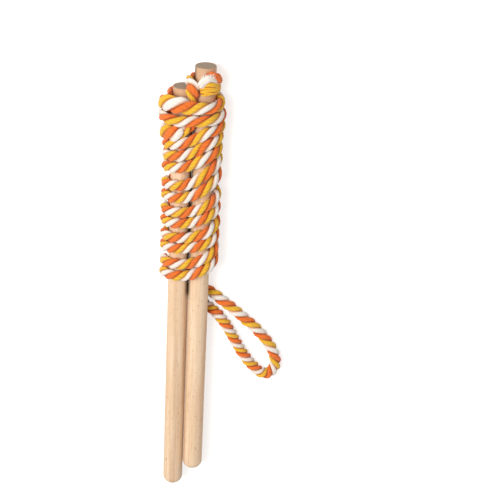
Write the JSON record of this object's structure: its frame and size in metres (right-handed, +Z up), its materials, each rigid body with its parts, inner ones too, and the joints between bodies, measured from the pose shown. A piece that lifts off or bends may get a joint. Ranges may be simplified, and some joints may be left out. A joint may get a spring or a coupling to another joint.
{
  "type": "bubble wand",
  "caption": "Wooden bubble wand sticks lying side by side, wrapped in a thick twisted cotton rope that is tied to their tips and ends in a free loop.",
  "frame": {"origin": "on the floor under the middle of the sticks' whole length", "axes": "+Y along the sticks towards their tips, +Z up from the floor, +X to the right seen from above"},
  "size_m": [0.1238, 0.44, 0.0397],
  "materials": {
    "stick_wood": "bare sanded beech",
    "cotton_rope": "matt twisted cotton"
  },
  "bodies": {
    "root": {"left_stick": "stick_wood", "right_stick": "stick_wood", "left_tip_hitch": "cotton_rope", "right_tip_hitch": "cotton_rope", "left_rope_winding": "cotton_rope", "right_rope_winding": "cotton_rope", "free_loop": "cotton_rope"}
  },
  "joints": []
}
